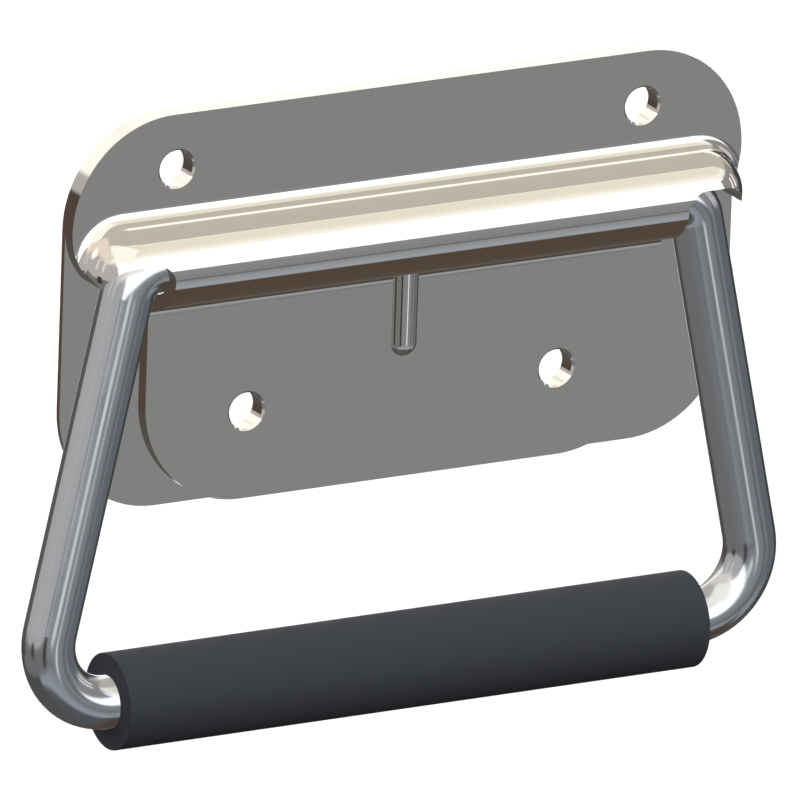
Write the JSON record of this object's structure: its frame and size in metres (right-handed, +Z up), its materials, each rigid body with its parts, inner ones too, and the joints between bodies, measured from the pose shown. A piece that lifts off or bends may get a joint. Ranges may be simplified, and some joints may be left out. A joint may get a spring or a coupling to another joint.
{
  "type": "surface-mounted folding pull handle",
  "caption": "Surface-mounted folding pull handle: pressed plate with a half-round hood, bent-rod bail with a black rubber grip, sprung to fold flat.",
  "frame": {"origin": "on the back face of the back plate, midway between the two upper screw holes", "axes": "+X along the hood, +Z up towards the upper screw holes, -Y out of the wall towards the user"},
  "size_m": [0.123, 0.0142, 0.0939],
  "materials": {
    "front_plate": "polished stainless steel",
    "back_plate": "polished stainless steel",
    "bail_rod": "polished drawn stainless rod",
    "grip_sleeve": "matte black rubber",
    "return_spring": "bright spring wire"
  },
  "bodies": {
    "plate": {"front_plate": "front_plate", "back_plate": "back_plate", "return_spring": "return_spring"},
    "bail": {"bail_rod": "bail_rod", "grip_sleeve": "grip_sleeve"}
  },
  "joints": [
    {"name": "bail_hinge", "type": "hinge", "parent": "plate", "child": "bail", "pos_m": [0, -0.0049, -0.01355], "axis": [-1, 0, 0], "range_deg": [0, 65], "stiffness_Nm_per_rad": 0.08, "springref_deg": -68.75, "deforming": ["return_spring"]}
  ]
}
